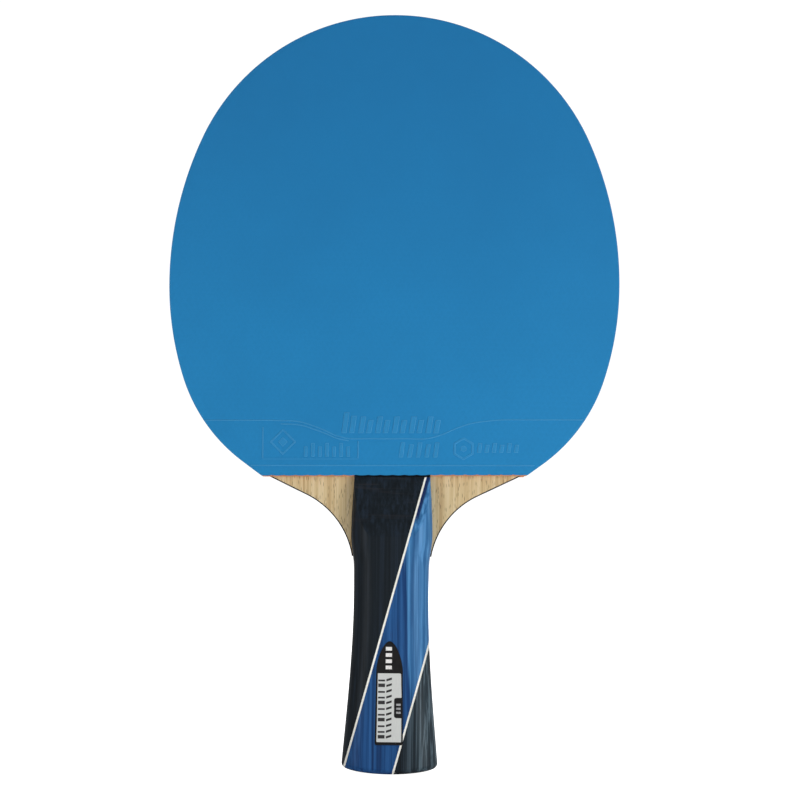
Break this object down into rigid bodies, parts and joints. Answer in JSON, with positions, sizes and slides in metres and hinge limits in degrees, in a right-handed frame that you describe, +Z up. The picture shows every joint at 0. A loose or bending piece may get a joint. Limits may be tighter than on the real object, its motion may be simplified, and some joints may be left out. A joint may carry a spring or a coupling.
{
  "type": "table tennis paddle",
  "caption": "Table tennis paddle with a laminated wooden blade, a rubber on each face and a flared two-tone wooden handle with a slanting veneer inlay.",
  "frame": {"origin": "lowest point of the butt, in the middle of the handle's width and of the blade's thickness", "axes": "+Z up the handle to the tip of the head, -Y out of the front face (the blue rubber and the badge), +X to the right seen from the front"},
  "size_m": [0.1526, 0.0233, 0.257],
  "materials": {
    "core_wood": "sanded, seen only at the edge of the butt",
    "carbon": "woven carbon cloth in resin",
    "inner_wood": "sanded, seen only at the butt",
    "outer_wood": "fine sanded and thinly sealed, straight grain",
    "tape": "matt woven edge tape",
    "front_sponge": "open-cell sponge",
    "front_rubber": "matt moulded rubber",
    "rear_sponge": "open-cell sponge",
    "rear_rubber": "matt moulded rubber",
    "dark_wood": "dyed and sealed, straight grain",
    "white_wood": "white veneer, sealed",
    "blue_wood": "dyed and sealed, straight grain",
    "badge_black": "satin moulded",
    "badge_silver": "satin foil"
  },
  "bodies": {
    "root": {"badge_panel": "badge_silver", "badge_plate": "badge_black", "blade_core": "core_wood", "edge_tape": "tape", "front_carbon_ply": "carbon", "front_grip_blue_centre": "blue_wood", "front_grip_dark_lower": "dark_wood", "front_grip_dark_upper": "dark_wood", "front_grip_strip_lower": "white_wood", "front_grip_strip_upper": "white_wood", "front_inner_ply": "inner_wood", "front_outer_ply": "outer_wood", "front_sponge": "front_sponge", "front_topsheet": "front_rubber", "rear_carbon_ply": "carbon", "rear_grip_blue_centre": "blue_wood", "rear_grip_dark_lower": "dark_wood", "rear_grip_dark_upper": "dark_wood", "rear_grip_strip_lower": "white_wood", "rear_grip_strip_upper": "white_wood", "rear_inner_ply": "inner_wood", "rear_outer_ply": "outer_wood", "rear_sponge": "rear_sponge", "rear_topsheet": "rear_rubber"}
  },
  "joints": []
}
